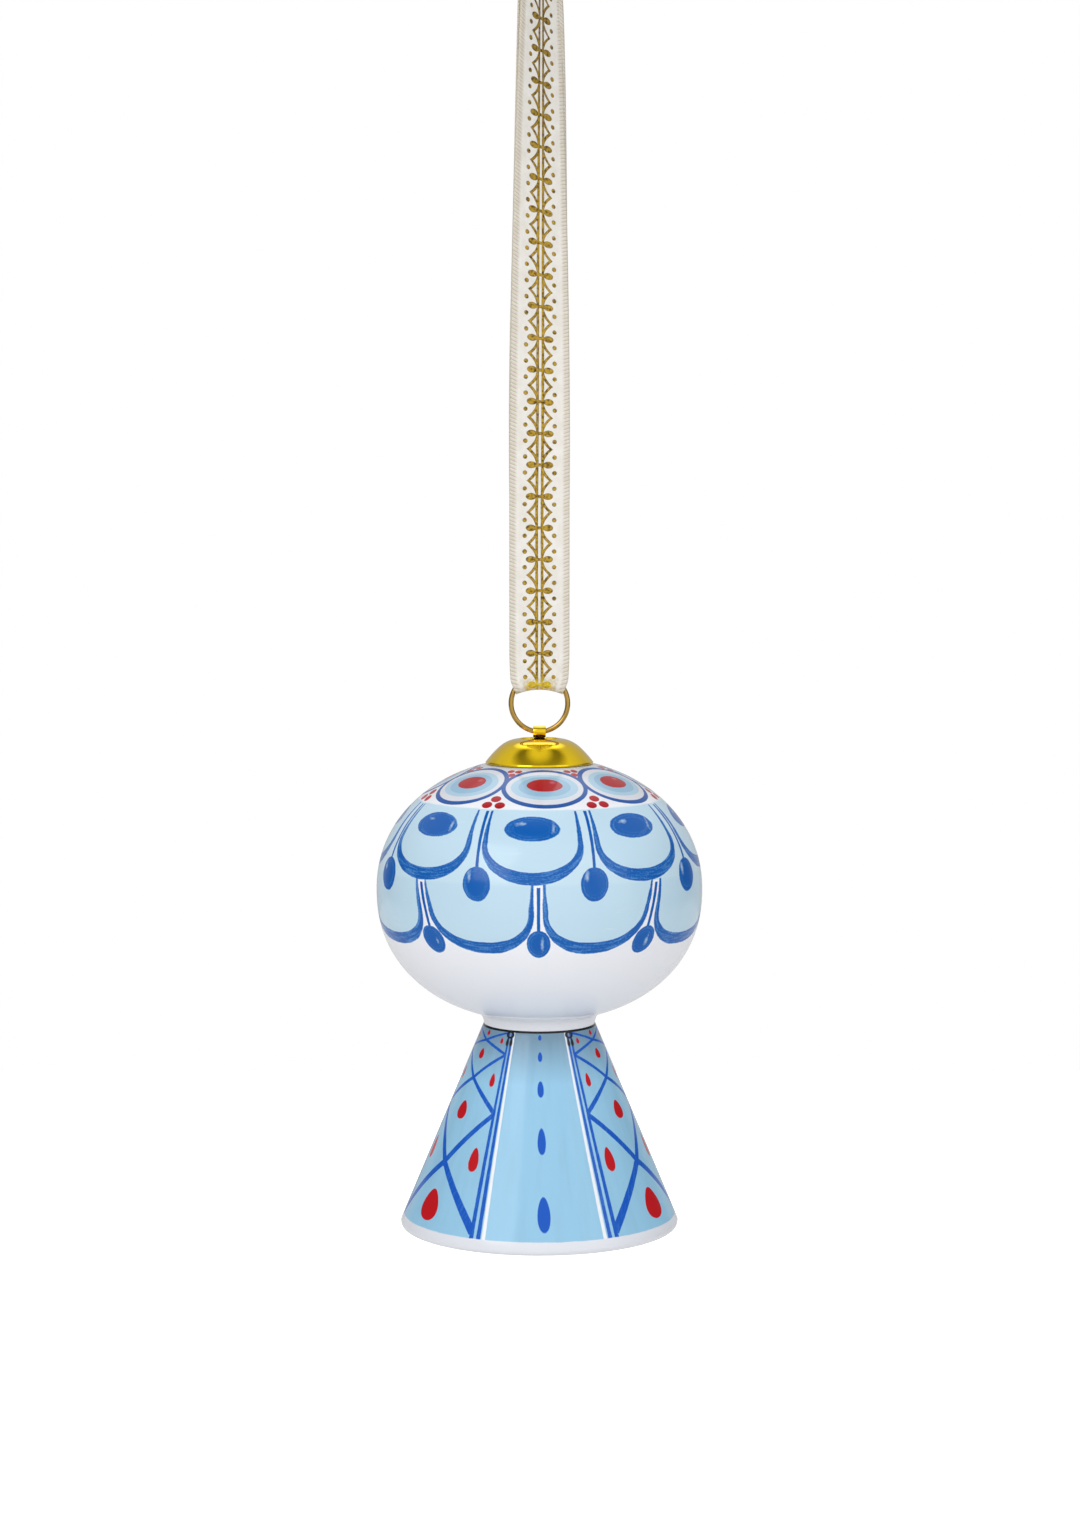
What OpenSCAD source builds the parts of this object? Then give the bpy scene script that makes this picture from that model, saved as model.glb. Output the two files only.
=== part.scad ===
// Porcelain bell ornament: a globe on a flared skirt, hung by a ribbon through a wire ring.
// Origin: the hanging point, under the ribbon's knot. +Z up, the front faces -Y, millimetres.

/* [Bell] */
// Widest diameter of the globe
globe_d = 54.6; // [44:0.1:70]
// Height of the globe's outline from crown to underside
globe_h = 44; // [38:0.5:58]
// Outer diameter of the neck between globe and skirt
neck_d = 18.7; // [16:0.1:26]
// Outer diameter of the skirt at the rim
rim_d = 46.8; // [38:0.1:60]
// Height of the skirt from neck to rim
skirt_h = 34.6; // [28:0.1:44]
// Thickness of the porcelain wall
wall = 2.2; // [1.8:0.1:2.6]
// Radius that rounds the outer edge of the rim
rim_round = 1; // [0.6:0.1:1.2]
// Diameter of the hole through the crown
crown_hole_d = 3.6; // [3:0.1:5]

/* [Cap and ring] */
// Diameter of the crown cap
cap_d = 18; // [15:0.1:24]
// Height of the crown cap's dome
cap_h = 4.25; // [3.6:0.05:6]
// Thickness of the cap's sheet
cap_sheet = 0.4; // [0.3:0.05:0.6]
// Diameter of the circle pressed into the top of the cap
cap_press_d = 6.3; // [5:0.1:8]
// Outer diameter of the hanger ring
ring_d = 10.3; // [9:0.1:14]
// Diameter of the hanger ring's wire
ring_wire_d = 0.85; // [0.6:0.05:1.05]
// Width of the split pin's strip
strip_w = 2.1; // [1.6:0.1:2.6]
// Thickness of the split pin's strip
strip_t = 0.3; // [0.2:0.05:0.4]

/* [Ribbon] */
// Width of the ribbon
ribbon_w = 10; // [8:0.5:12]
// Thickness of the ribbon
ribbon_t = 0.4; // [0.3:0.05:0.6]
// Length of the loop from the hanging point down to the ring
loop_l = 125; // [80:1:200]
// Length of the loop's lower stretch, which is not twisted
flat_l = 31; // [20:1:60]
// Turn of the ribbon's loop between the ring and the knot, in degrees
ribbon_turn = 55; // [0:1:90]
// Length of each tail above the knot
tail_l = 16; // [10:1:30]

/* [Clapper] */
// Diameter of the clapper's bead
bead_d = 13; // [8:0.1:13.4]
// Height of the bead's centre above the rim
bead_lift = 16; // [15:0.1:20]
// Diameter of the clapper's wire
wire_d = 0.8; // [0.6:0.05:1]
// Outer radius of the eye on the clapper's wire
eye_r = 1.7; // [1.5:0.1:2]
// Outer diameter of the clapper's link
link_d = 4.5; // [4.2:0.1:5.5]
// Diameter of the link's wire
link_wire_d = 0.7; // [0.5:0.05:0.8]
// Drop of the staple from the washer to the middle of its lowest wire
staple_drop = 4; // [3.5:0.1:6]
// Width of the staple between the middles of its legs
staple_w = 4.4; // [4:0.1:5]
// Diameter of the inner washer and the crown gasket
washer_d = 8; // [7:0.1:9]
// Thickness of the inner washer
washer_t = 0.5; // [0.4:0.1:0.8]
// Thickness of the crown gasket
gasket_t = 0.8; // [0.5:0.1:1.2]

/* [Clearances] */
// Gap between the hanger ring's wire and what passes beside it
ring_gap = 0.3; // [0.2:0.05:0.5]
// Gap between the split pin's fold and the ring's wire
pin_gap = 0.2; // [0.15:0.05:0.3]
// Gap between the cap's lip and the porcelain that it rests on
seat_gap = 0.03; // [0.02:0.01:0.06]
// Radial clearance of the bead on its wire
bead_gap = 0.06; // [0.02:0.01:0.1]
// Gap between two wire loops that hang in one another
loop_gap = 0.05; // [0.03:0.01:0.1]
// Gap around the split pin and the staple where they pass through
pass_gap = 0.1; // [0.05:0.05:0.2]

/* [Hidden] */
$fn = 72;
eps = 0.01;

// Fullness of the globe's outline above and below its widest level: 2 is an ellipse
FULL_UP = 2.1;
FULL_DOWN = 2.2;
OUTLINE_STEPS = 22;
FILLET_STEPS = 4;
FOLD_STEPS = 6;
TURN_STEPS = 10;

globe_r = globe_d / 2;
globe_half = globe_h / 2;
neck_r = neck_d / 2;
rim_r = rim_d / 2;
cap_r = cap_d / 2;
crown_hole_r = crown_hole_d / 2;
neck_h = 0.7;
neck_fillet = 1.6;
inner_fillet = 2;
rim_inner_round = 0.4;
// Width of the flat land that shows round the washer
land_margin = 0.3;
land_r = washer_d / 2 + land_margin;
land_flat = 0.15;
lip_r = 0.25;

// Hanger ring, read down from the hanging point
ring_wire_r = ring_wire_d / 2;
ring_mid_r = ring_d / 2 - ring_wire_r;
ring_hole_r = ring_d / 2 - ring_wire_d;
leg_y = ring_wire_r + ring_gap;
// How far each edge of the ribbon stands in from the ring's hole at the fold
fold_margin = 0.9;
fold_half = ring_hole_r - fold_margin;
fold_edge_z = sqrt(pow(ring_hole_r - ring_gap, 2) - pow(fold_half, 2)) - ribbon_t;
fold_arch = 0.7;
fold_inset = 0.06;
leg_low_z = -loop_l - fold_arch - fold_inset;
bend_z = leg_low_z + flat_l;
ring_z = -loop_l - fold_edge_z - fold_arch;
swing_z = ring_z - ring_mid_r;

// Split pin
pin_loop_r = ring_wire_r + pin_gap;
pin_slit = 0.1;
pin_t = 2 * strip_t + pin_slit;
// How much narrower the pin's stem is than its loop
stem_step = 0.3;
stem_w = strip_w - stem_step;
// Space between the split pin's fold and the top of the cap
cap_clear = 0.15;

// Levels of the bell, worked down from the split pin's loop
cap_top_z = swing_z - pin_loop_r - strip_t - cap_clear;
cap_edge_z = cap_top_z - cap_h;
seat_rise = globe_half * pow(1 - pow(cap_r / globe_r, FULL_UP), 1 / FULL_UP);
globe_z = cap_edge_z - seat_gap - seat_rise;
neck_z = globe_z - globe_half - neck_h;
rim_z = neck_z - skirt_h;
lean = atan((rim_r - neck_r) / (skirt_h - rim_round));
wall_across = wall / cos(lean);
neck_bore_r = neck_r - wall_across;

// Inside the crown
land_z = globe_z + globe_half - wall - land_flat;
washer_top_z = land_z - gasket_t;
washer_low_z = washer_top_z - washer_t;
staple_z = washer_low_z - staple_drop;
staple_r = staple_w / 2;
wire_r = wire_d / 2;
link_wire_r = link_wire_d / 2;
link_mid_r = link_d / 2 - link_wire_r;
link_z = staple_z + wire_r + link_wire_r + loop_gap - link_mid_r;
hook_z = link_z - link_mid_r;
eye_mid_r = eye_r - wire_r;
eye_z = hook_z + link_wire_r + wire_r + loop_gap - eye_mid_r;
bead_r = bead_d / 2;
bead_z = rim_z + bead_lift;
crimp_l = 2;
crimp_wall = 0.6;
crimp_r = wire_r + crimp_wall;
// Space between the bead and the crimp under it
crimp_gap = 0.05;
crimp_top_z = bead_z - sqrt(pow(bead_r, 2) - pow(crimp_r, 2)) - crimp_gap;
wire_low_z = crimp_top_z - crimp_l;
leg_spread = 2.8;

// Knot and tails
knot_r = 3.6;
knot_half_w = 1.6;
knot_z = knot_r;
tail_lean = 20;

// A point on the globe's outline, at angle t up from its widest level
function outline_point(t, r, half) =
    let (full = t > 0 ? FULL_UP : FULL_DOWN)
    [r * pow(cos(t), 2 / full), globe_z + half * sign(t) * pow(abs(sin(t)), 2 / full)];

// The angle at which the outline has radius x
function outline_angle(x, r, full) = acos(pow(x / r, full / 2));

// The outline between two angles
function outline(r, half, from, to) =
    [for (i = [0 : OUTLINE_STEPS]) outline_point(from + (to - from) * i / OUTLINE_STEPS, r, half)];

// A smooth corner from a to c that bends towards b
function corner(a, b, c) = [
    for (i = [0 : FILLET_STEPS])
        let (s = i / FILLET_STEPS)
        (1 - s) * (1 - s) * a + 2 * s * (1 - s) * b + s * s * c
];

// The outside of the bell, from the crown hole down to the flat of the rim
function bell_outside() =
    let (low = -outline_angle(neck_r + neck_fillet, globe_r, FULL_DOWN),
         under = outline_point(low, globe_r, globe_half))
    concat(
        outline(globe_r, globe_half, outline_angle(crown_hole_r, globe_r, FULL_UP), low),
        corner(under, [neck_r, under[1]], [neck_r, neck_z]),
        corner([rim_r, rim_z + rim_round], [rim_r, rim_z], [rim_r - rim_round, rim_z])
    );

// The inside of the bell, from the rim up to the crown hole
function bell_inside() =
    let (r = globe_r - wall,
         half = globe_half - wall,
         low = -outline_angle(neck_bore_r + inner_fillet, r, FULL_DOWN),
         floor = outline_point(low, r, half),
         mouth_r = rim_r - wall_across + tan(lean) * rim_round,
         up = [tan(lean), -1] * rim_inner_round)
    concat(
        [[mouth_r + rim_inner_round, rim_z], [mouth_r, rim_z] - up],
        corner([neck_bore_r, neck_z], [neck_bore_r, floor[1]], floor),
        outline(r, half, low, outline_angle(land_r, r, FULL_UP)),
        [[land_r, land_z], [crown_hole_r, land_z]]
    );

module ring_of_wire(mid_r, wire_r) {
    rotate_extrude()
        translate([mid_r, 0])
            circle(r = wire_r);
}

// The ribbon's turn about the vertical at height z, in degrees
function turn_at(z) = max(0, ribbon_turn * (z - bend_z) / (knot_z - bend_z));

// One leg of the loop, from the fold up into the knot: side is -1 for the front leg and 1 for the back one
module ribbon_leg(side) {
    levels = concat([leg_low_z], [for (i = [0 : TURN_STEPS]) bend_z + (knot_z - bend_z) * i / TURN_STEPS]);
    half = ribbon_w / 2;
    mid_y = side * (leg_y + ribbon_t / 2);
    low_y = mid_y - ribbon_t / 2;
    high_y = mid_y + ribbon_t / 2;
    section = [[-half, low_y], [half, low_y], [half, high_y], [-half, high_y]];
    points = [
        for (z = levels)
            for (p = section)
                let (a = turn_at(z))
                [p[0] * cos(a) - p[1] * sin(a), p[0] * sin(a) + p[1] * cos(a), z]
    ];
    last = 4 * (len(levels) - 1);
    walls = [
        for (i = [0 : len(levels) - 2])
            for (k = [0 : 3])
                let (a = 4 * i + k, b = 4 * i + (k + 1) % 4)
                each [[a, a + 4, b + 4], [a, b + 4, b]]
    ];
    polyhedron(points, concat([[0, 1, 2, 3]], walls, [[last + 3, last + 2, last + 1, last]]));
}

// The fold between the legs, which arches through the ring and is narrower than the ribbon
module ribbon_fold() {
    depth = 2 * (leg_y + ribbon_t - fold_inset);
    under = [
        for (i = [-FOLD_STEPS : FOLD_STEPS])
            let (s = i / FOLD_STEPS)
            [fold_half * s, -fold_arch * s * s]
    ];
    over = [for (i = [len(under) - 1 : -1 : 0]) under[i] + [0, ribbon_t]];
    translate([0, depth / 2, -loop_l])
        rotate([90, 0, 0])
            linear_extrude(depth)
                polygon(concat(under, over));
}

module ribbon() {
    color("ivory") {
        for (side = [-1, 1])
            ribbon_leg(side);
        ribbon_fold();
        rotate([0, 0, ribbon_turn]) {
            hull()
                for (side = [-1, 1])
                    translate([side * knot_half_w, 0, knot_z])
                        sphere(r = knot_r, $fn = 20);
            for (side = [-1, 1])
                translate([side * knot_half_w, side * leg_y, knot_z])
                    rotate([0, side * tail_lean, 0])
                        translate([-ribbon_w / 2, -ribbon_t / 2, 0])
                            cube([ribbon_w, ribbon_t, knot_r + tail_l]);
        }
    }
}

module hanger_ring() {
    color("gold")
        translate([0, 0, ring_z])
            rotate([90, 0, 0])
                ring_of_wire(ring_mid_r, ring_wire_r);
}

module split_pin() {
    stem_top = swing_z - pin_loop_r - strip_t / 2;
    leg_low = washer_low_z - strip_t;
    color("gold") {
        // The strip's fold, round the ring's wire
        translate([-strip_w / 2, 0, swing_z])
            rotate([0, 90, 0])
                difference() {
                    cylinder(r = pin_loop_r + strip_t, h = strip_w);
                    translate([0, 0, -eps])
                        cylinder(r = pin_loop_r, h = strip_w + 2 * eps);
                }
        // Two legs, side by side down through the crown and spread under the washer
        for (side = [0, 1])
            mirror([0, side, 0])
                translate([-stem_w / 2, pin_slit / 2, leg_low]) {
                    cube([stem_w, strip_t, stem_top - leg_low]);
                    cube([stem_w, leg_spread, strip_t]);
                }
    }
}

module crown_cap() {
    steps = 16;
    press = 0.15;
    inner_r = cap_r - cap_sheet;
    inner_h = cap_h - cap_sheet;
    angles = [for (i = [0 : steps]) 90 * i / steps];
    dome = [for (t = angles) [cap_r * cos(t), lip_r + (cap_h - lip_r) * sin(t)]];
    hollow = [for (t = angles) [inner_r * sin(t), lip_r + (inner_h - lip_r) * cos(t)]];
    color("gold")
        translate([0, 0, cap_edge_z])
            difference() {
                rotate_extrude() {
                    polygon(concat(dome, hollow));
                    translate([cap_r - cap_sheet / 2, lip_r])
                        circle(d = cap_sheet, $fn = 16);
                }
                translate([0, 0, cap_h - press])
                    cylinder(d = cap_press_d, h = cap_h);
                translate([0, 0, inner_h])
                    cube([stem_w + 2 * pass_gap, pin_t + 2 * pass_gap, 2 * cap_h], center = true);
            }
}

module bell_body() {
    color("aliceblue")
        rotate_extrude()
            polygon(concat(bell_outside(), bell_inside()));
}

module crown_gasket() {
    color("saddlebrown")
        translate([0, 0, washer_top_z])
            difference() {
                cylinder(d = washer_d, h = gasket_t);
                translate([0, 0, -eps])
                    cylinder(r = crown_hole_r, h = gasket_t + 2 * eps);
            }
}

module inner_washer() {
    color("goldenrod")
        translate([0, 0, washer_low_z])
            difference() {
                cylinder(d = washer_d, h = washer_t);
                translate([0, 0, washer_t / 2])
                    cube([stem_w + 2 * pass_gap, pin_t + 2 * pass_gap, 2 * washer_t], center = true);
                for (side = [-1, 1])
                    translate([side * staple_r, 0, -eps])
                        cylinder(r = wire_r + eps, h = washer_t + 2 * eps);
            }
}

module clapper_staple() {
    bend_z = staple_z + staple_r;
    color("goldenrod") {
        for (side = [-1, 1])
            translate([side * staple_r, 0, bend_z])
                cylinder(r = wire_r, h = washer_top_z - bend_z);
        translate([0, 0, bend_z])
            rotate([-90, 0, 0])
                rotate_extrude(angle = 180)
                    translate([staple_r, 0])
                        circle(r = wire_r);
    }
}

module clapper_link() {
    color("silver")
        translate([0, 0, link_z])
            rotate([0, 90, 0])
                ring_of_wire(link_mid_r, link_wire_r);
}

module clapper_wire() {
    shank_top = eye_z - eye_mid_r;
    color("silver") {
        translate([0, 0, eye_z])
            rotate([90, 0, 0])
                ring_of_wire(eye_mid_r, wire_r);
        translate([0, 0, wire_low_z])
            cylinder(r = wire_r, h = shank_top - wire_low_z);
    }
}

module clapper_bead() {
    color("burlywood")
        translate([0, 0, bead_z])
            difference() {
                sphere(r = bead_r);
                translate([0, 0, -bead_d])
                    cylinder(r = wire_r + bead_gap, h = 2 * bead_d);
            }
}

module clapper_crimp() {
    color("silver")
        translate([0, 0, wire_low_z])
            difference() {
                cylinder(r = crimp_r, h = crimp_l);
                translate([0, 0, -eps])
                    cylinder(r = wire_r, h = crimp_l + 2 * eps);
            }
}

ribbon();
hanger_ring();
split_pin();
crown_cap();
bell_body();
crown_gasket();
inner_washer();
clapper_staple();
clapper_link();
clapper_wire();
clapper_bead();
clapper_crimp();
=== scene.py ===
import math
from functools import reduce

import bmesh
import bpy
from mathutils import Matrix, Vector


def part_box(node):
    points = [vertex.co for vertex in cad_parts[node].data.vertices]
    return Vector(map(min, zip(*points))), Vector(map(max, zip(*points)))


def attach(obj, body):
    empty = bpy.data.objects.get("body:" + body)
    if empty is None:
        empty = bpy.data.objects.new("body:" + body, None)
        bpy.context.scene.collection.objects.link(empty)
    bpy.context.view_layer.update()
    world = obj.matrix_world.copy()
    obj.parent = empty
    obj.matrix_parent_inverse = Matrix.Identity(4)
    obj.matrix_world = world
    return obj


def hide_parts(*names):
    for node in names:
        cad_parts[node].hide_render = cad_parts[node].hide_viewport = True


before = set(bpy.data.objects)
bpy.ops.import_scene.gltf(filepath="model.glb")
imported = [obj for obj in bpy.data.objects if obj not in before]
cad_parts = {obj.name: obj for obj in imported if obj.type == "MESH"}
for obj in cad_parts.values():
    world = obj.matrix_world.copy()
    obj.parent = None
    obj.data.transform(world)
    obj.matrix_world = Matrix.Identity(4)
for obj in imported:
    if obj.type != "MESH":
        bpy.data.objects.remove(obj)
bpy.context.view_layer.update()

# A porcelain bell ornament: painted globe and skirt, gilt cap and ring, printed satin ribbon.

MM = 0.001

# ---------------------------------------------------------------- places read from the frame, in mm


def box_mm(node):
    low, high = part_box(node)
    return low / MM, high / MM


BELL_LOW, BELL_HIGH = box_mm("bell_body")
CAP_LOW, CAP_HIGH = box_mm("crown_cap")
RING_LOW, RING_HIGH = box_mm("hanger_ring")
BEAD_LOW, BEAD_HIGH = box_mm("clapper_bead")

RING_Z = (RING_LOW.z + RING_HIGH.z) / 2
WIRE_R = (RING_HIGH.y - RING_LOW.y) / 2
RING_MID_R = (RING_HIGH.z - RING_LOW.z) / 2 - WIRE_R

# The globe: its half height, and how full its outline is above and below its widest level (2 is an ellipse)
GLOBE_R = BELL_HIGH.x
GLOBE_HALF = 22.0
GLOBE_Z = BELL_HIGH.z - GLOBE_HALF
FULL_UP = 2.1
FULL_DOWN = 2.2
CROWN_HOLE_R = 1.8
# The skirt, from the neck under the globe to the rim
NECK_R = 9.35
NECK_DROP = 0.7
NECK_Z = GLOBE_Z - GLOBE_HALF - NECK_DROP
RIM_Z = BELL_LOW.z
RIM_R = 23.4
RIM_ROUND = 1.0
SKIRT_H = NECK_Z - RIM_Z
LEAN = math.atan((RIM_R - NECK_R) / (SKIRT_H - RIM_ROUND))
WALL = 2.2

# ---------------------------------------------------------------- mesh helpers


def add_object(name, data):
    thing = bpy.data.objects.new(name, data)
    bpy.context.scene.collection.objects.link(thing)
    return thing


def finish_mesh(bm, name, body, materials, smooth=35):
    """Closes a bmesh drawn in mm, makes it an object in metres and lets it ride on a body."""
    bmesh.ops.remove_doubles(bm, verts=bm.verts, dist=1e-4)
    bmesh.ops.recalc_face_normals(bm, faces=bm.faces)
    bmesh.ops.scale(bm, vec=(MM,) * 3, verts=bm.verts)
    mesh = bpy.data.meshes.new(name)
    bm.to_mesh(mesh)
    bm.free()
    for polygon in mesh.polygons:
        polygon.use_smooth = True
    mesh.set_sharp_from_angle(angle=math.radians(smooth))
    for material in materials:
        mesh.materials.append(material)
    piece = add_object(name, mesh)
    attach(piece, body)
    return piece


def turn_profile(points, steps):
    """A full turn about Z of a closed outline of (radius, height) points, in mm."""
    bm = bmesh.new()
    verts = [bm.verts.new((r, 0, z)) for r, z in points]
    edges = [bm.edges.new(pair) for pair in zip(verts, verts[1:] + verts[:1])]
    bmesh.ops.spin(
        bm,
        geom=verts + edges,
        axis=(0, 0, 1),
        cent=(0, 0, 0),
        angle=2 * math.pi,
        steps=steps,
        use_merge=True,
        use_duplicate=False,
    )
    return bm


def arc(centre, radius, start, end, steps):
    """Points on a round corner, angles in degrees."""
    angles = [math.radians(start + (end - start) * i / steps) for i in range(steps + 1)]
    return [(centre[0] + radius * math.cos(a), centre[1] + radius * math.sin(a)) for a in angles]


def bend(a, b, c, steps):
    """A smooth corner from a to c that leans towards b."""
    found = []
    for i in range(steps + 1):
        s = i / steps
        weights = ((1 - s) ** 2, 2 * s * (1 - s), s * s)
        found.append(tuple(sum(w * p[k] for w, p in zip(weights, (a, b, c))) for k in (0, 1)))
    return found


def between(a, c, steps):
    """Points inside a straight run from a to c, without its ends."""
    return [(a[0] + (c[0] - a[0]) * i / steps, a[1] + (c[1] - a[1]) * i / steps) for i in range(1, steps)]


def fullness(height):
    """How full the globe's outline is above or below its widest level."""
    return FULL_UP if height > 0 else FULL_DOWN


def globe_point(t, r, half):
    """The globe's outline at angle t, in radians above its widest level."""
    power = 2 / fullness(t)
    return r * math.cos(t) ** power, GLOBE_Z + half * math.copysign(abs(math.sin(t)) ** power, t)


def globe_angle(x, r, full):
    """The angle at which the globe's outline has radius x."""
    return math.acos((x / r) ** (full / 2))


def globe_outline(r, half, start, end, steps=56):
    return [globe_point(start + (end - start) * i / steps, r, half) for i in range(steps + 1)]


def globe_radius(height):
    """The globe's radius at a height above its widest level."""
    full = fullness(height)
    return GLOBE_R * (1 - (abs(height) / GLOBE_HALF) ** full) ** (1 / full)


# ---------------------------------------------------------------- maths nodes that read like arithmetic


class Field:
    """A number that varies over a surface."""

    def __init__(self, tree, socket):
        self.tree = tree
        self.socket = socket

    def math(self, operation, *others, clamp=False):
        node = self.tree.nodes.new("ShaderNodeMath")
        node.operation = operation
        node.use_clamp = clamp
        for slot, value in zip(node.inputs, (self, *others)):
            plug(self.tree, value, slot)
        return Field(self.tree, node.outputs[0])

    def __add__(self, other):
        return self.math("ADD", other)

    def __sub__(self, other):
        return self.math("SUBTRACT", other)

    def __rsub__(self, other):
        return self.math("MULTIPLY_ADD", -1.0, other)

    def __mul__(self, other):
        return self.math("MULTIPLY", other)

    def __truediv__(self, other):
        return self.math("DIVIDE", other)

    def __pow__(self, other):
        return self.math("POWER", other)

    def __abs__(self):
        return self.math("ABSOLUTE")

    def clip(self):
        return self.math("ADD", 0.0, clamp=True)


def plug(tree, value, slot):
    if isinstance(value, Field):
        tree.links.new(value.socket, slot)
    elif isinstance(value, bpy.types.NodeSocket):
        tree.links.new(value, slot)
    else:
        slot.default_value = value


def both(*depths):
    """Inside all of these."""
    return reduce(lambda a, b: a.math("MINIMUM", b), depths)


def either(*depths):
    """Inside any of these."""
    return reduce(lambda a, b: a.math("MAXIMUM", b), depths)


def join(tree, x, y, z):
    node = tree.nodes.new("ShaderNodeCombineXYZ")
    for value, slot in zip((x, y, z), node.inputs):
        plug(tree, value, slot)
    return node.outputs[0]


def noise(tree, vector, scale, detail=2.0, rough=0.5):
    node = tree.nodes.new("ShaderNodeTexNoise")
    plug(tree, vector, node.inputs["Vector"])
    node.inputs["Scale"].default_value = scale
    node.inputs["Detail"].default_value = detail
    node.inputs["Roughness"].default_value = rough
    return Field(tree, node.outputs["Fac"])


def place_vector(tree):
    """Object coordinates in mm."""
    coordinates = tree.nodes.new("ShaderNodeTexCoord")
    scale = tree.nodes.new("ShaderNodeVectorMath")
    scale.operation = "SCALE"
    tree.links.new(coordinates.outputs["Object"], scale.inputs[0])
    scale.inputs["Scale"].default_value = 1 / MM
    return scale.outputs[0]


def split(tree, vector):
    node = tree.nodes.new("ShaderNodeSeparateXYZ")
    plug(tree, vector, node.inputs[0])
    return [Field(tree, out) for out in node.outputs]


def tint(code):
    """A linear colour from its screen code."""
    parts = [int(code[i : i + 2], 16) / 255 for i in (1, 3, 5)]
    return tuple(p / 12.92 if p <= 0.04045 else ((p + 0.055) / 1.055) ** 2.4 for p in parts) + (1.0,)


def over(tree, under, colour, mask):
    """colour laid over what is under it, where mask is 1."""
    mix = tree.nodes.new("ShaderNodeMix")
    mix.data_type = "RGBA"
    plug(tree, mask, mix.inputs["Factor"])
    plug(tree, under, mix.inputs["A"])
    plug(tree, colour, mix.inputs["B"])
    return mix.outputs["Result"]


def raise_surface(tree, shader, height, strength, distance):
    """Lets a height, of up to distance mm, shape the shader's normal."""
    bump = tree.nodes.new("ShaderNodeBump")
    bump.inputs["Strength"].default_value = strength
    bump.inputs["Distance"].default_value = distance * MM
    plug(tree, height, bump.inputs["Height"])
    plug(tree, bump.outputs[0], shader.inputs["Normal"])


def wave(field, length):
    """A sine along a field in mm, one turn in each length."""
    return (field * (2 * math.pi / length)).math("SINE")


# ---------------------------------------------------------------- effects that several materials share


def node_group(name, inputs, outputs):
    tree = bpy.data.node_groups.new(name, "ShaderNodeTree")
    for label, value in inputs:
        socket = tree.interface.new_socket(label, in_out="INPUT", socket_type="NodeSocketFloat")
        socket.default_value = value
    for label in outputs:
        tree.interface.new_socket(label, in_out="OUTPUT", socket_type="NodeSocketFloat")
    entry = tree.nodes.new("NodeGroupInput")
    leave = tree.nodes.new("NodeGroupOutput")
    fields = [Field(tree, out) for out in entry.outputs if out.name]
    return tree, fields[: len(inputs)], leave


def use_group(tree, group, **values):
    """Places a shared effect in a material, with its own values."""
    node = tree.nodes.new("ShaderNodeGroup")
    node.node_tree = group
    for label, value in values.items():
        plug(tree, value, node.inputs[label])
    return node


def make_brushed_edge():
    """Turns a depth inside an edge, in mm, into a mask with a slightly uneven, hand-drawn edge."""
    tree, (depth, ragged, soft), leave = node_group(
        "brushed edge", [("Depth", 0.0), ("Ragged", 0.1), ("Soft", 0.08)], ["Mask"]
    )
    where = place_vector(tree)
    wobble = noise(tree, where, 0.45, 1.0) - 0.5
    tooth = noise(tree, where, 2.6, 3.0) - 0.5
    moved = depth + (wobble * 1.6 + tooth * 1.1) * ragged
    mask = (moved / soft + 0.5).clip()
    plug(tree, mask, leave.inputs["Mask"])
    return tree


def make_brush_tone():
    """Streaks along a stroke: 1 where the brush left less colour. Across and Along are in mm."""
    tree, (across, along), leave = node_group("brush tone", [("Across", 0.0), ("Along", 0.0)], ["Thin"])
    streak = noise(tree, join(tree, across * 2.4, along * 0.28, 0.0), 1.0, 3.0, 0.6)
    speck = noise(tree, place_vector(tree), 3.4, 2.0)
    thin = ((streak - 0.47) * 3.4 + (speck - 0.5) * 1.4).clip()
    plug(tree, thin, leave.inputs["Thin"])
    return tree


BRUSHED_EDGE = make_brushed_edge()
BRUSH_TONE = make_brush_tone()


def drawn(depth, ragged=0.1, soft=0.09):
    """The mask of what is inside an edge."""
    node = use_group(depth.tree, BRUSHED_EDGE, Depth=depth, Ragged=ragged, Soft=soft)
    return Field(depth.tree, node.outputs["Mask"])


def thin_paint(across, along):
    """Where a stroke's paint is thin."""
    node = use_group(across.tree, BRUSH_TONE, Across=across, Along=along)
    return Field(across.tree, node.outputs["Thin"])


# ---------------------------------------------------------------- the painter's measures on a round wall


class Wall:
    """Places on a turned wall: azimuth in degrees from the front, height and radius in mm."""

    def __init__(self, tree, base_z):
        self.tree = tree
        self.x, self.y, self.z = split(tree, place_vector(tree))
        self.up = self.z - base_z
        self.radius = (self.x * self.x + self.y * self.y) ** 0.5
        self.azimuth = self.x.math("ARCTAN2", self.y * -1.0) * math.degrees(1)

    def leaned(self, rate, from_up):
        """The azimuth with a hand's lean: marks low down drift towards the front and the back."""
        swing = (self.azimuth * (2 * math.radians(1))).math("SINE")
        return self.azimuth + swing * (from_up - self.up) * rate

    def repeat(self, count, turn, azimuth=None):
        """Degrees from the nearest of count marks round the wall."""
        half = 180 / count
        return ((azimuth or self.azimuth) - turn).math("WRAP", half, -half)

    def patch(self, angle, radius, up, slope):
        """(sideways, upwards) in mm on the plane that touches the wall at a mark's middle."""
        radians = angle * math.radians(1)
        side = self.radius * radians.math("SINE")
        out = self.radius * radians.math("COSINE") - radius
        rise = out * -math.sin(slope) + (self.up - up) * math.cos(slope)
        return side, rise


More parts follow.
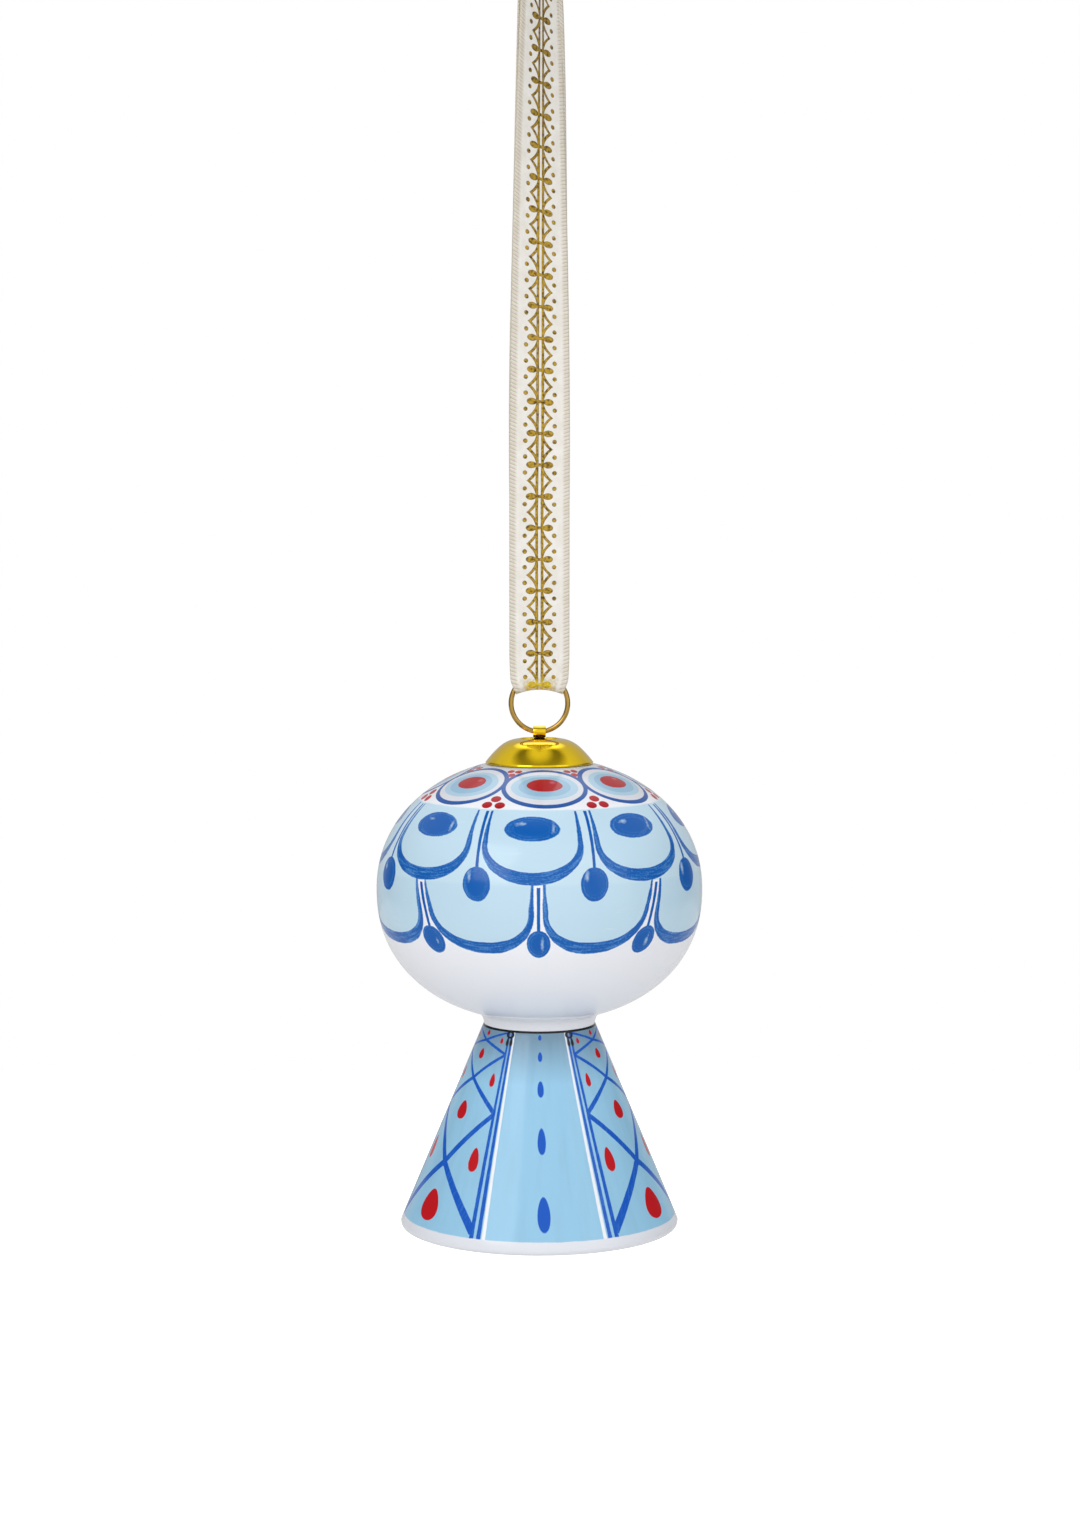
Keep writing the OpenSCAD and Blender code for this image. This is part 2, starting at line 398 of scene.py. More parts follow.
def oval(side, rise, wide, tall, at=(0.0, 0.0), egg=0.0):
    """Depth inside an oval. egg above 0 narrows its top."""
    u = (side - at[0]) / (wide / 2)
    w = (rise - at[1]) / (tall / 2)
    if egg:
        u = u / (w * -egg + 1.0)
    reach = (u * u + w * w) ** 0.5
    return (1.0 - reach) * (min(wide, tall) / 2)


def globe_slope(up):
    """How far the globe's wall leans in at a height, in radians."""
    step = 0.05
    return math.atan2(globe_radius(up - step) - globe_radius(up + step), 2 * step)


def globe_mark(wall, count, turn, up, azimuth=None):
    angle = wall.repeat(count, turn, azimuth)
    return wall.patch(angle, globe_radius(up), up, globe_slope(up))


def lobe(angle, up, half, grow, shoulder, bottom, span, power=2.25):
    """Depth inside a scallop: straight sides above its shoulder, round below. half is in degrees."""
    above = (up - shoulder).math("MAXIMUM", 0.0)
    below = (shoulder - up).math("MAXIMUM", 0.0) / (shoulder - bottom)
    across = abs(angle) / (above * grow + half)
    reach = (across**power + below**power) ** (1 / power)
    return (1.0 - reach) * span


# ---------------------------------------------------------------- paint and glaze

WHITE = tint("#F3F5FB")
PALE_BLUE = tint("#C2DFF0")
PALER_BLUE = tint("#CAE4F3")
DISC_BLUE = tint("#94BBD6")
DISC_PALE = tint("#ABCCE1")
OUTLINE_BLUE = tint("#0050A0")
BLUE = tint("#005CB2")
THIN_BLUE = tint("#5C9AD8")
RED = tint("#AE0012")
RED_LIGHT = tint("#D8707A")
SKIRT_BLUE = tint("#98CBE9")
# A darker blue for the painted shadow on the skirt just under the globe
SKIRT_SHADOW_BLUE = tint("#7E9FB6")
SKIRT_INK = tint("#0056C2")
SKIRT_RED = tint("#C20010")
BLACK = tint("#15181C")
RIM_WHITE = tint("#E6E9F0")
# Painted shade near the cap: the grey the crown turns to, and a greyer white for the medallions' rings that
# lie in it
CROWN_SHADE_GREY = tint("#C4C8D0")
CROWN_SHADED_WHITE = tint("#D9DCE4")


def new_material(name, rough=0.5, metal=0.0, **sockets):
    material = bpy.data.materials.new(name)
    material.use_nodes = True
    shader = material.node_tree.nodes["Principled BSDF"]
    shader.inputs["Roughness"].default_value = rough
    shader.inputs["Metallic"].default_value = metal
    for label, value in sockets.items():
        shader.inputs[label.replace("_", " ")].default_value = value
    return material, material.node_tree, shader


def glaze(name):
    """A fired, glossy glaze with a very slight waviness."""
    material, tree, shader = new_material(name, rough=0.13, IOR=1.37)
    raise_surface(tree, shader, noise(tree, place_vector(tree), 0.11, 2.0), 0.12, 0.4)
    return material, tree, shader


# The globe's decoration. Heights are in mm above its widest level, turns and half widths in degrees.
# The pale blue band runs from BAND_FOOT up to BAND_TOP. The scallops of each row lean with the hand.
BAND_TOP = 15.25
BAND_FOOT = 3.85
SCALLOPS = 8
HIGH_LEAN = (0.23, 16.0)
HIGH_TURN = -2.7
HIGH_OUTER = dict(half=20.2, grow=-0.12, shoulder=10.3, bottom=3.9, span=7.5, power=2.05)
HIGH_INNER = dict(half=17.9, grow=0.14, shoulder=10.3, bottom=5.9, span=7.5, power=2.05)
LOW_LEAN = (0.6, BAND_FOOT)
LOW_TURN = 22.1
LOW_OUTER = dict(half=20.9, grow=0.0, shoulder=-0.5, bottom=-7.35, span=7.0)
LOW_INNER = dict(half=18.9, grow=0.25, shoulder=-0.5, bottom=-5.5, span=7.0)

# (turn, height) of the drops between the scallops and of the oval in each upper scallop
HIGH_DROP = (21.0, 3.9)
LOW_DROP = (-0.3, -5.65)
POOL = (-2.9, 12.6)

# Medallions round the crown: (colour, width, height, how far up, ragged, soft), from the outline in
MEDALLIONS = 7
MEDALLION_TURN = 3.3
MEDALLION_UP = 18.7
MEDALLION_RINGS = (
    (OUTLINE_BLUE, 14.1, 11.6, 0.0, 0.05, 0.08),
    # the white ring is greyed with the same painted shade as the crown round it
    (CROWN_SHADED_WHITE, 12.65, 9.9, 0.0, 0.05, 0.08),
    (DISC_PALE, 11.0, 7.6, 0.0, 0.05, 0.08),
    (DISC_BLUE, 8.5, 6.0, 0.0, 0.06, 0.1),
    (RED, 5.8, 3.8, 0.25, 0.08, 0.08),
)
# Where two medallions meet: the height of each cluster, then (width, height, sideways, up) of its berries
BERRIES = (
    (16.25, ((1.75, 1.5, 0.0, 0.85), (1.8, 1.5, -1.12, -0.6), (1.8, 1.5, 1.12, -0.6))),
    (20.3, ((1.2, 1.3, 0.0, -0.7), (1.2, 1.3, -0.66, 0.75), (1.2, 1.3, 0.66, 0.75))),
)


def globe_ground(tree, wall, high_in, low_out, low_in):
    """A white crown, a pale blue band, and a white underside with pale blue scallops let into it."""
    under_top = BAND_TOP - wall.up
    band = drawn(both(under_top, either(wall.up - BAND_FOOT, low_out)), 0.05)
    inside = drawn(both(under_top, either(high_in, both(low_in, BAND_FOOT - wall.up))), 0.05, 0.5)
    ground = over(tree, WHITE, PALER_BLUE, band)
    ground = over(tree, ground, PALE_BLUE, inside * 0.85)
    # Where the brush ran dry
    cloud = noise(tree, place_vector(tree), 0.16, 3.0)
    wash = noise(tree, join(tree, wall.azimuth * 0.02, wall.up * 0.35, 0.0), 2.2, 4.0, 0.65)
    dry = ((wash - 0.6) * 5.0).clip() * band * ((cloud - 0.42) * 4.0).clip()
    return over(tree, ground, WHITE, dry * 0.55)


def paint_scallops(tree, wall, skin, high_edges, low_edges, places):
    """Stems, then strokes that are thick at the bottom and thin at their ends, drops and ovals."""
    up = wall.up
    (high_side, high_rise), (low_side, low_rise), pool = places
    high_stroke = both(high_edges[0], high_edges[1] * -1.0, BAND_TOP - 0.15 - up)
    low_stroke = both(low_edges[0], low_edges[1] * -1.0, BAND_FOOT + 0.2 - up)
    high_stem = both(0.27 - abs(high_side), up - 4.5, BAND_TOP - 0.2 - up)
    low_stem = both(0.3 - abs(low_side), up + 5.0, BAND_FOOT - 0.3 - up)
    skin = over(tree, skin, BLUE, drawn(either(high_stem, low_stem), 0.08, 0.1))

    along = wall.azimuth * 0.45
    for stroke, inner in ((low_stroke, low_edges[1]), (high_stroke, high_edges[1])):
        tone = over(tree, BLUE, THIN_BLUE, thin_paint(inner, along))
        skin = over(tree, skin, tone, drawn(stroke, 0.14, 0.12))

    high_drop = oval(high_side, high_rise, 5.1, 5.5)
    low_drop = oval(low_side, low_rise, 4.5, 4.6)
    blots = either(high_drop, low_drop, oval(*pool, 9.2, 4.75))
    scribble = thin_paint(blots * 1.6, along * 0.8)
    tone = over(tree, BLUE, THIN_BLUE, scribble * (1.2 - blots).clip() * 0.7)
    return over(tree, skin, tone, drawn(blots, 0.14, 0.1))


def paint_glints(tree, skin, places):
    """Small bare glints that the brush left in the drops and ovals."""
    high_drop, low_drop, pool = places
    glints = either(
        oval(*high_drop, 0.4, 0.9, (-1.35, 1.2)),
        oval(*low_drop, 0.35, 1.0, (0.7, -0.2)),
        oval(*pool, 0.8, 0.3, (-1.6, 0.9)),
        oval(*pool, 0.35, 1.3, (3.5, 0.2)),
    )
    return over(tree, skin, PALER_BLUE, drawn(glints, 0.5, 0.45) * 0.7)


def paint_medallions(tree, wall, skin):
    side, rise = globe_mark(wall, MEDALLIONS, MEDALLION_TURN, MEDALLION_UP)
    for colour, wide, tall, lift, ragged, soft in MEDALLION_RINGS:
        skin = over(tree, skin, colour, drawn(oval(side, rise, wide, tall, (0.0, lift)), ragged, soft))
    glint = drawn(oval(side, rise, 0.9, 0.7, (1.3, 1.1)), 0.3, 0.4)
    return over(tree, skin, RED_LIGHT, glint * 0.6)


def paint_berries(tree, wall, skin):
    found = []
    for up, berries in BERRIES:
        side, rise = globe_mark(wall, MEDALLIONS, MEDALLION_TURN + 180 / MEDALLIONS, up)
        found += [oval(side, rise, wide, tall, (x, z)) for wide, tall, x, z in berries]
    return over(tree, skin, RED, drawn(either(*found), 0.06, 0.08))


def globe_paint():
    material, tree, shader = glaze("globe painted glaze")
    wall = Wall(tree, GLOBE_Z)
    high_lean = wall.leaned(*HIGH_LEAN)
    low_lean = wall.leaned(*LOW_LEAN)
    high_angle = wall.repeat(SCALLOPS, HIGH_TURN, high_lean)
    low_angle = wall.repeat(SCALLOPS, LOW_TURN, low_lean)
    high_edges = [lobe(high_angle, wall.up, **edge) for edge in (HIGH_OUTER, HIGH_INNER)]
    low_edges = [lobe(low_angle, wall.up, **edge) for edge in (LOW_OUTER, LOW_INNER)]
    marks = ((HIGH_DROP, high_lean), (LOW_DROP, low_lean), (POOL, high_lean))
    places = [globe_mark(wall, SCALLOPS, *mark, lean) for mark, lean in marks]

    skin = globe_ground(tree, wall, high_edges[1], *low_edges)
    skin = paint_scallops(tree, wall, skin, high_edges, low_edges, places)
    skin = paint_glints(tree, skin, places)
    # Painted shade: the globe greys towards the cap, from 15.3 mm above its widest level
    skin = over(tree, skin, CROWN_SHADE_GREY, ((wall.up - 15.3) / 4.5).clip() * 0.8)
    skin = paint_medallions(tree, wall, skin)
    skin = paint_berries(tree, wall, skin)
    plug(tree, skin, shader.inputs["Base Color"])
    return material


# The skirt's decoration: three plain panels, and three with a lattice between them
PANEL = 60.0
# Levels, in mm below the neck, where the lattice meets its borders and where its strokes cross
LATTICE_LEVELS = (0.4, 3.9, 13.2, 31.6)
LATTICE_CROSSINGS = (2.1, 8.2, 21.7)
LATTICE_HALF = 29.0
# (degrees from the plain panel's middle, half width in degrees) of the borders' lines
BLUE_BORDERS = ((28.2, 0.95), (31.5, 1.0))
WHITE_BORDER = (25.9, 0.8)
RIM_BAND = 2.25
# (below the neck, width, height) of the blue drops down each plain panel
BLUE_DROPS = ((1.0, 0.55, 0.95), (4.0, 0.72, 1.65), (9.0, 1.05, 2.7), (17.0, 1.35, 4.4), (28.2, 2.1, 5.9))
# (below the neck, width, height) of the red drops down the middle of each lattice
RED_DROPS = ((0.9, 0.75, 0.9), (4.3, 1.35, 1.8), (13.4, 2.5, 3.2), (28.6, 4.6, 5.4))
# (below the neck, width, height) of the red drops beside each crossing
SIDE_DROPS = ((1.8, 0.6, 1.0), (8.0, 0.95, 2.3), (20.5, 1.9, 4.1))
SIDE_DROP_ANGLE = 21.5


def skirt_radius(down):
    return NECK_R + down * math.tan(LEAN)


def skirt_drops(wall, angle, rows, egg):
    """Drops down a panel, one for each row of (below the neck, width, height)."""
    found = []
    for down, wide, tall in rows:
        side, rise = wall.patch(angle, skirt_radius(down), -down, LEAN)
        found.append(oval(side, rise, wide, tall, egg=egg))
    return either(*found)


def lattice_lines(wall, lattice, down):
    """Crossed strokes between each pair of levels: straight on the skirt when it is opened out as a fan."""
    fan = lattice * (math.radians(1) * math.sin(LEAN))
    slant = wall.radius / math.sin(LEAN)
    fan_x = abs(slant * fan.math("SINE"))
    fan_y = slant * fan.math("COSINE")
    half_fan = math.radians(LATTICE_HALF) * math.sin(LEAN)
    edge = Vector((math.sin(half_fan), math.cos(half_fan)))
    strokes = []
    for top, foot, crossing in zip(LATTICE_LEVELS, LATTICE_LEVELS[1:], LATTICE_CROSSINGS):
        middle = Vector((0.0, skirt_radius(crossing) / math.sin(LEAN)))
        within = both(down - top + 0.2, foot + 0.2 - down)
        for level in (top, foot):
            corner = edge * (skirt_radius(level) / math.sin(LEAN))
            run = (corner - middle).normalized()
            off = abs(fan_x * run.y - (fan_y - middle.y) * run.x)
            strokes.append(both(down * 0.018 + 0.17 - off, within))
    return either(*strokes)


def border_heads(wall, beside):
    """A small black loop and tassel at the head of each border."""
    side, rise = wall.patch(beside - PANEL / 2, NECK_R, 0.0, LEAN)
    loop = oval(side, rise, 1.45, 1.3, (0.0, -0.8))
    tassels = [oval(side, rise, 0.5, 1.5, (s * 0.34, -2.0), egg=0.4) for s in (-1, 1)]
    return either(both(loop, 0.34 - loop), *tassels)


def skirt_paint():
    material, tree, shader = glaze("skirt painted glaze")
    wall = Wall(tree, NECK_Z)
    down = wall.up * -1.0
    # The pattern turns a little towards the rim, as it was drawn
    drift = down * 0.06 + 0.3
    plain = (wall.azimuth - drift).math("WRAP", PANEL, -PANEL)
    lattice = (wall.azimuth - drift - PANEL).math("WRAP", PANEL, -PANEL)
    beside = abs(plain)
    degree = wall.radius * math.radians(1)

    # Painted shadow: the skirt darkens just under the globe's overhang and fades out 8.5 mm below the neck,
    # with a random tone from the flow noise over it
    flow = noise(tree, join(tree, wall.azimuth * 0.1, down * 0.05, 0.0), 1.6, 3.0)
    shade = (1.0 - down / 8.5).clip() * 1.15 + ((flow - 0.45) * 2.5).clip() * 0.2
    skin = over(tree, SKIRT_BLUE, SKIRT_SHADOW_BLUE, shade.clip())

    borders = (WHITE_BORDER, *BLUE_BORDERS)
    white_line, *blue_lines = [(half - abs(beside - at)) * degree for at, half in borders]
    lines = both(lattice_lines(wall, lattice, down), (LATTICE_HALF + 0.3 - abs(lattice)) * degree)
    thin = thin_paint(wall.azimuth * 0.3 + down * 0.4, down)
    paint = over(tree, SKIRT_INK, THIN_BLUE, thin * 0.3)
    skin = over(tree, skin, WHITE, drawn(white_line, 0.05, 0.1))
    skin = over(tree, skin, paint, drawn(either(lines, *blue_lines), 0.08, 0.1))
    skin = over(tree, skin, SKIRT_INK, drawn(skirt_drops(wall, plain, BLUE_DROPS, 0.15), 0.05, 0.08))

    middle_drops = skirt_drops(wall, lattice, RED_DROPS, 0.32)
    side_drops = skirt_drops(wall, abs(lattice) - SIDE_DROP_ANGLE, SIDE_DROPS, 0.32)
    skin = over(tree, skin, SKIRT_RED, drawn(either(middle_drops, side_drops), 0.06, 0.08))
    skin = over(tree, skin, BLACK, drawn(border_heads(wall, beside), 0.04, 0.08))
    skin = over(tree, skin, RIM_WHITE, drawn(down - (SKIRT_H - RIM_BAND), 0.08, 0.12))
    # The dark line under the globe
    skin = over(tree, skin, BLACK, drawn(0.36 - down, 0.02, 0.06))
    plug(tree, skin, shader.inputs["Base Color"])
    return material


def plain_glaze():
    material, tree, shader = glaze("plain white glaze")
    mottle = noise(tree, place_vector(tree), 0.3, 4.0)
    plug(tree, over(tree, WHITE, tint("#E4E7EE"), (mottle - 0.4) * 2.0), shader.inputs["Base Color"])
    return material


def bare_foot():
    material, tree, shader = new_material("bare fired foot", rough=0.75)
    grit = noise(tree, place_vector(tree), 6.0, 4.0)
    plug(tree, over(tree, tint("#EDEAE2"), tint("#CFCAC0"), (grit - 0.45) * 3.0), shader.inputs["Base Color"])
    return material


def make_metal_wear():
    """Fine polishing marks and handling haze for plated metal."""
    tree, (coarse,), leave = node_group("metal wear", [("Coarse", 1.0)], ["Haze", "Marks"])
    where = place_vector(tree)
    haze = noise(tree, where, 0.35, 4.0)
    x, y, z = split(tree, where)
    marks = noise(tree, join(tree, x * 0.5, y * 0.5, z * 9.0), 2.0, 3.0)
    plug(tree, (haze - 0.35) * 1.4 * coarse, leave.inputs["Haze"])
    plug(tree, marks, leave.inputs["Marks"])
    return tree


METAL_WEAR = make_metal_wear()


def metal(name, colour, dull, rough=0.12, mark=0.15, coarse=1.0):
    material, tree, shader = new_material(name, rough=rough, metal=1.0)
    wear = use_group(tree, METAL_WEAR, Coarse=coarse)
    haze = Field(tree, wear.outputs["Haze"]).clip()
    plug(tree, over(tree, tint(colour), tint(dull), haze * 0.6), shader.inputs["Base Color"])
    plug(tree, haze * rough * 0.9 + rough * 0.7, shader.inputs["Roughness"])
    raise_surface(tree, shader, wear.outputs["Marks"], mark, 0.05)
    return material


def turned_wood():
    """Straight-grained wood with warped growth rings and darker fibres, lightly waxed."""
    name = "waxed turned wood"
    material, tree, shader = new_material(name, rough=0.42, Coat_Weight=0.25, Coat_Roughness=0.3)
    x, y, z = split(tree, place_vector(tree))
    warp = noise(tree, place_vector(tree), 0.12, 2.0) * 3.0
    across = x * 0.8 + y * 0.25 + warp
    rings = (across * 3.2).math("SINE") * 0.5 + 0.5
    fibre = noise(tree, join(tree, x * 3.0, y * 3.0, z * 0.35), 1.4, 4.0)
    base = over(tree, tint("#C99A63"), tint("#9C6A38"), rings * 0.55)
    grain = over(tree, base, tint("#7A4E27"), ((fibre - 0.52) * 4.0).clip() * 0.6)
    plug(tree, grain, shader.inputs["Base Color"])
    return material


def pressed_fibre():
    material, tree, shader = new_material("pressed fibre", rough=0.85)
    fleck = noise(tree, place_vector(tree), 3.0, 4.0)
    plug(tree, over(tree, tint("#8A5A3A"), tint("#5E3A24"), (fleck - 0.4) * 3.0), shader.inputs["Base Color"])
    return material


# ---------------------------------------------------------------- ribbon cloth

RIBBON_MAP = "ribbon length"
MAP_UNIT = 100.0  # mm of ribbon to one unit of the map
MOTIF = 5.2  # mm from one pair of leaves to the next
CLOTH_WHITE = tint("#F7F4EE")
CLOTH_SHADE = tint("#D8D0C0")
# Painted shade for the troughs between the selvedge's ribs
RIB_TROUGH_SHADE = tint("#BFB29A")
EDGE_SHADE = tint("#D9D0BC")
GILT_PRINT = tint("#BE9A34")
GILT_WORN = tint("#4A340C")
# A bright gold for the painted highlight over the ribbon's fold
GILT_HIGHLIGHT = tint("#E8CC3A")


def woven(tree, across, along):
    """The height of the weave, and its colour: fine threads, and coarse ribs in the selvedges with painted
    shade in their troughs.
    """
    out = abs(across)
    fine = wave(along, 0.24) * wave(across, 0.2)
    rib = wave(along + out * 0.35, 0.62)
    edge = ((out - 3.7) / 0.5).clip()
    weave = fine * 0.5 * (1.0 - edge) + rib * edge
    cloud = noise(tree, place_vector(tree), 0.5, 3.0)
    shade = ((weave * 0.5 + 0.5) * (edge * 0.5 + 0.4) + (cloud - 0.5) * 0.8).clip()
    cloth = over(tree, CLOTH_WHITE, CLOTH_SHADE, shade)
    # Painted shade in the troughs between the selvedge's ribs
    cloth = over(tree, cloth, RIB_TROUGH_SHADE, (0.1 - rib).clip() * edge * 0.9)
    return weave, over(tree, cloth, EDGE_SHADE, ((out - 4.85) / 0.12).clip() * 0.6)


def printed(across, along):
    """Depth inside the gold print: two lines, bars with leaves, curved zigzags and dots."""
    out = abs(across)
    step = (along + MOTIF / 4).math("WRAP", MOTIF / 2, -MOTIF / 2)
    far = abs(step) / (MOTIF / 2)
    lines = 0.22 - abs(out - 0.44)
    leaves = oval(out, step, 1.7, 1.1, (1.4, 0.0))
    bars = both(1.2 - out, 0.25 - abs(step))
    zigzags = 0.19 - abs(out - far**2.2 * 1.45 - 0.42) / (far * 0.7 + 1.0)
    dots = oval(out, abs(step) - MOTIF / 4, 0.72, 0.72, (2.45, 0.0))
    return either(lines, leaves, bars, zigzags, dots)


def ribbon_cloth():
    name = "printed satin ribbon"
    material, tree, shader = new_material(name, rough=0.42, Sheen_Weight=0.35, Sheen_Roughness=0.4)
    flat = tree.nodes.new("ShaderNodeUVMap")
    flat.uv_map = RIBBON_MAP
    across, along, _ = [part * MAP_UNIT for part in split(tree, flat.outputs[0])]
    weave, cloth = woven(tree, across, along)
    depth = printed(across, along)
    wear_and_highlight_noise = noise(tree, place_vector(tree), 2.2, 3.0)
    gilt = over(tree, GILT_PRINT, GILT_WORN, ((wear_and_highlight_noise - 0.44) * 4.0).clip())
    gilt = over(tree, gilt, GILT_WORN, (1.0 - (depth - 0.02) / 0.1).clip() * 0.55)
    # Painted highlight: bright gold over the fold round the ring, where the cloth curves, broken up by the
    # same noise as the gilt's wear
    fold = both(2.6 - abs(along), 3.6 - abs(across)) / 1.2
    fold_highlight = (fold.clip() * ((wear_and_highlight_noise - 0.3) * 3.5).clip()).clip()
    gilt = over(tree, gilt, GILT_HIGHLIGHT, fold_highlight)
    gold = either(drawn(depth, 0.05, 0.06), fold_highlight * 0.9)
    plug(tree, over(tree, cloth, gilt, gold), shader.inputs["Base Color"])
    plug(tree, gold * 0.75, shader.inputs["Metallic"])
    raise_surface(tree, shader, weave * (1.0 - gold * 0.8) + gold * 1.2, 0.55, 0.06)
    return material


# ---------------------------------------------------------------- bell body


CONE_ROWS = 24
LAND_R = 4.3  # the flat under the crown that the gasket and washer pull against
ACROSS = WALL / math.cos(LEAN)  # the skirt's wall, measured level
BORE = NECK_R - ACROSS
MOUTH = RIM_R - ACROSS + math.tan(LEAN) * RIM_ROUND
# How far in and up the mouth's inner edge is rounded
FOOT = 0.17
FOOT_H = 0.4
PAINTED_GLOBE, PAINTED_SKIRT, PLAIN_INSIDE, BARE_RIM = range(4)


def bell_outside():
    """From the crown's hole down the globe, round the neck and down the skirt to the rim."""
    low = -globe_angle(NECK_R + 2.1, GLOBE_R, FULL_DOWN)
    under = globe_point(low, GLOBE_R, GLOBE_HALF)
    top = globe_angle(CROWN_HOLE_R + 0.3, GLOBE_R, FULL_UP)
    points = globe_outline(GLOBE_R, GLOBE_HALF, top, low)
    points += bend(under, (NECK_R + 0.1, under[1] - 0.35), (NECK_R, NECK_Z), 12)[1:]
    points += between((NECK_R, NECK_Z), (RIM_R, RIM_Z + RIM_ROUND), CONE_ROWS)
    return points + bend((RIM_R, RIM_Z + RIM_ROUND), (RIM_R, RIM_Z), (RIM_R - RIM_ROUND, RIM_Z), 8)


def bell_inside():
    """From the rim up the skirt's bore and the globe's inner wall to the land and the crown's hole."""
    r = GLOBE_R - WALL
    half = GLOBE_HALF - WALL
    low = -globe_angle(BORE + 2, r, FULL_DOWN)
    floor = globe_point(low, r, half)
    edge = (MOUTH - FOOT, RIM_Z + FOOT_H)
    land_z = GLOBE_Z + half - 0.15
    points = bend((MOUTH + 0.5, RIM_Z), (MOUTH + 0.1, RIM_Z), edge, 4)
    points += between(edge, (BORE, NECK_Z), CONE_ROWS)
    points += bend((BORE, NECK_Z), (BORE, floor[1]), floor, 8)
    points += globe_outline(r, half, low, globe_angle(LAND_R, r, FULL_UP), 40)[1:]
    return points + [(LAND_R, land_z), (CROWN_HOLE_R, land_z), (CROWN_HOLE_R, BELL_HIGH.z - 0.3)]


def bell_finish(face):
    """Which finish a face of the bell has, from the side of the wall's middle that it is on."""
    centre = face.calc_center_median()
    radius = math.hypot(centre.x, centre.y)
    middle = WALL / 2
    if centre.z < RIM_Z + 0.01:
        return BARE_RIM
    if centre.z < NECK_Z:
        return PAINTED_SKIRT if radius > skirt_radius(NECK_Z - centre.z) - middle else PLAIN_INSIDE
    height = centre.z - GLOBE_Z
    full = fullness(height)
    size = (radius / (GLOBE_R - middle)) ** full + (abs(height) / (GLOBE_HALF - middle)) ** full
    at_neck = radius <= NECK_R + 1 and height <= 0
    outer = radius > NECK_R - middle if at_neck else size > 1
    return PAINTED_GLOBE if outer else PLAIN_INSIDE


def make_bell_body():
    bm = turn_profile(bell_outside() + bell_inside(), 160)
    for face in bm.faces:
        face.material_index = bell_finish(face)
    finishes = [globe_paint(), skirt_paint(), plain_glaze(), bare_foot()]
    piece = finish_mesh(bm, "porcelain_bell", "bell", finishes)
    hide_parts("bell_body")
    return piece


# ---------------------------------------------------------------- cap, ring and pin


def make_cap(gilt):
    """A pressed dome with a round step in its top, a hole for the pin and a rolled lip."""
    radius = CAP_HIGH.x
    base = CAP_LOW.z
    sheet = 0.4
    hole = 1.35
    press = 3.15
    step = base + 4.1
    dome = bend((radius, base + 0.2), (8.0, base + 1.55), (6.85, base + 2.6), 10)
    dome += bend((6.85, base + 2.6), (5.4, base + 3.95), (3.6, CAP_HIGH.z), 12)[1:]
    dome += [(3.3, CAP_HIGH.z + 0.03), (2.4, CAP_HIGH.z + 0.06)]
    outer = [p for p in dome if p[0] > press + 0.25]
    outer += bend((press + 0.25, step + 0.02), (press + 0.02, step + 0.03), (press, step - 0.14), 4)
    outer += bend((press - 0.05, step - 0.2), (press - 0.3, step - 0.24), (press - 0.6, step - 0.17), 4)
    outer += [(hole, step - 0.1), (hole, step - 0.1 - sheet)]
    inner = [(r - sheet * r / radius, z - sheet * 0.9) for r, z in reversed(dome) if 1.6 < r < radius - 0.6]
    lip = arc((radius - sheet / 2, base + sheet / 2), sheet / 2, 200, 350, 6)
    bm = turn_profile(outer + inner + lip, 128)
    piece = finish_mesh(bm, "gilt_crown_cap", "bell", [gilt], smooth=50)
    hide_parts("crown_cap")
    return piece


def make_ring(gilt):
    """A ring of wire in the plane of the ribbon, its ends soldered at the bottom."""
    points = arc((RING_MID_R, 0), WIRE_R, 0, 345, 23)
    bm = turn_profile(points, 128)
    bmesh.ops.rotate(bm, cent=(0, 0, 0), matrix=Matrix.Rotation(math.pi / 2, 3, "X"), verts=bm.verts)
    bmesh.ops.translate(bm, vec=(0, 0, RING_Z), verts=bm.verts)
    piece = finish_mesh(bm, "gilt_wire_ring", "ring", [gilt])
    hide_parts("hanger_ring")
    return piece


def make_pin(gilt):
    """The folded strip, its sheared edges rounded."""
    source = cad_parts["split_pin"]
    bm = bmesh.new()
    bm.from_mesh(source.data)
    bmesh.ops.scale(bm, vec=(1 / MM,) * 3, verts=bm.verts)
    bmesh.ops.remove_doubles(bm, verts=bm.verts, dist=1e-4)
    bmesh.ops.dissolve_limit(bm, angle_limit=math.radians(1), verts=bm.verts, edges=bm.edges)
    sharp = [e for e in bm.edges if len(e.link_faces) == 2 and e.calc_face_angle() > math.radians(60)]
    bmesh.ops.bevel(bm, geom=sharp, offset=0.045, affect="EDGES", segments=2, profile=0.5, material=-1)
    piece = finish_mesh(bm, "gilt_split_pin", "bell", [gilt])
    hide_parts("split_pin")
    return piece


# ---------------------------------------------------------------- ribbon

RIBBON_HALF = 5.0
RIBBON_T = 0.28
# The fold through the ring, the height above it where the loop starts to turn, and how far it has turned, in
# degrees, by the knot
FOLD_Z = -125.0
FOLD_R = WIRE_R + 0.3 + RIBBON_T / 2
BEND_Z = -94.7
TOP_TURN = 60.0
KNOT_LOW = -0.5
KNOT_HIGH = 7.0
TAIL = 14.5
TAIL_SPLAY = 24
LEG = KNOT_LOW - FOLD_Z - FOLD_R
HALF_FOLD = FOLD_R * math.pi / 2
# Half the strip, from the fold to the end of a tail, and the whole of it with what the knot's turn takes up
STRIP = HALF_FOLD + LEG + (KNOT_HIGH - KNOT_LOW) + TAIL
KNOT_TURN = 30
CUT_LENGTH = 2 * STRIP + KNOT_TURN


def ease(value, low, high):
    """0 below low, 1 above high, smooth between."""
    s = min(1.0, max(0.0, (value - low) / (high - low)))
    return s * s * (3 - 2 * s)


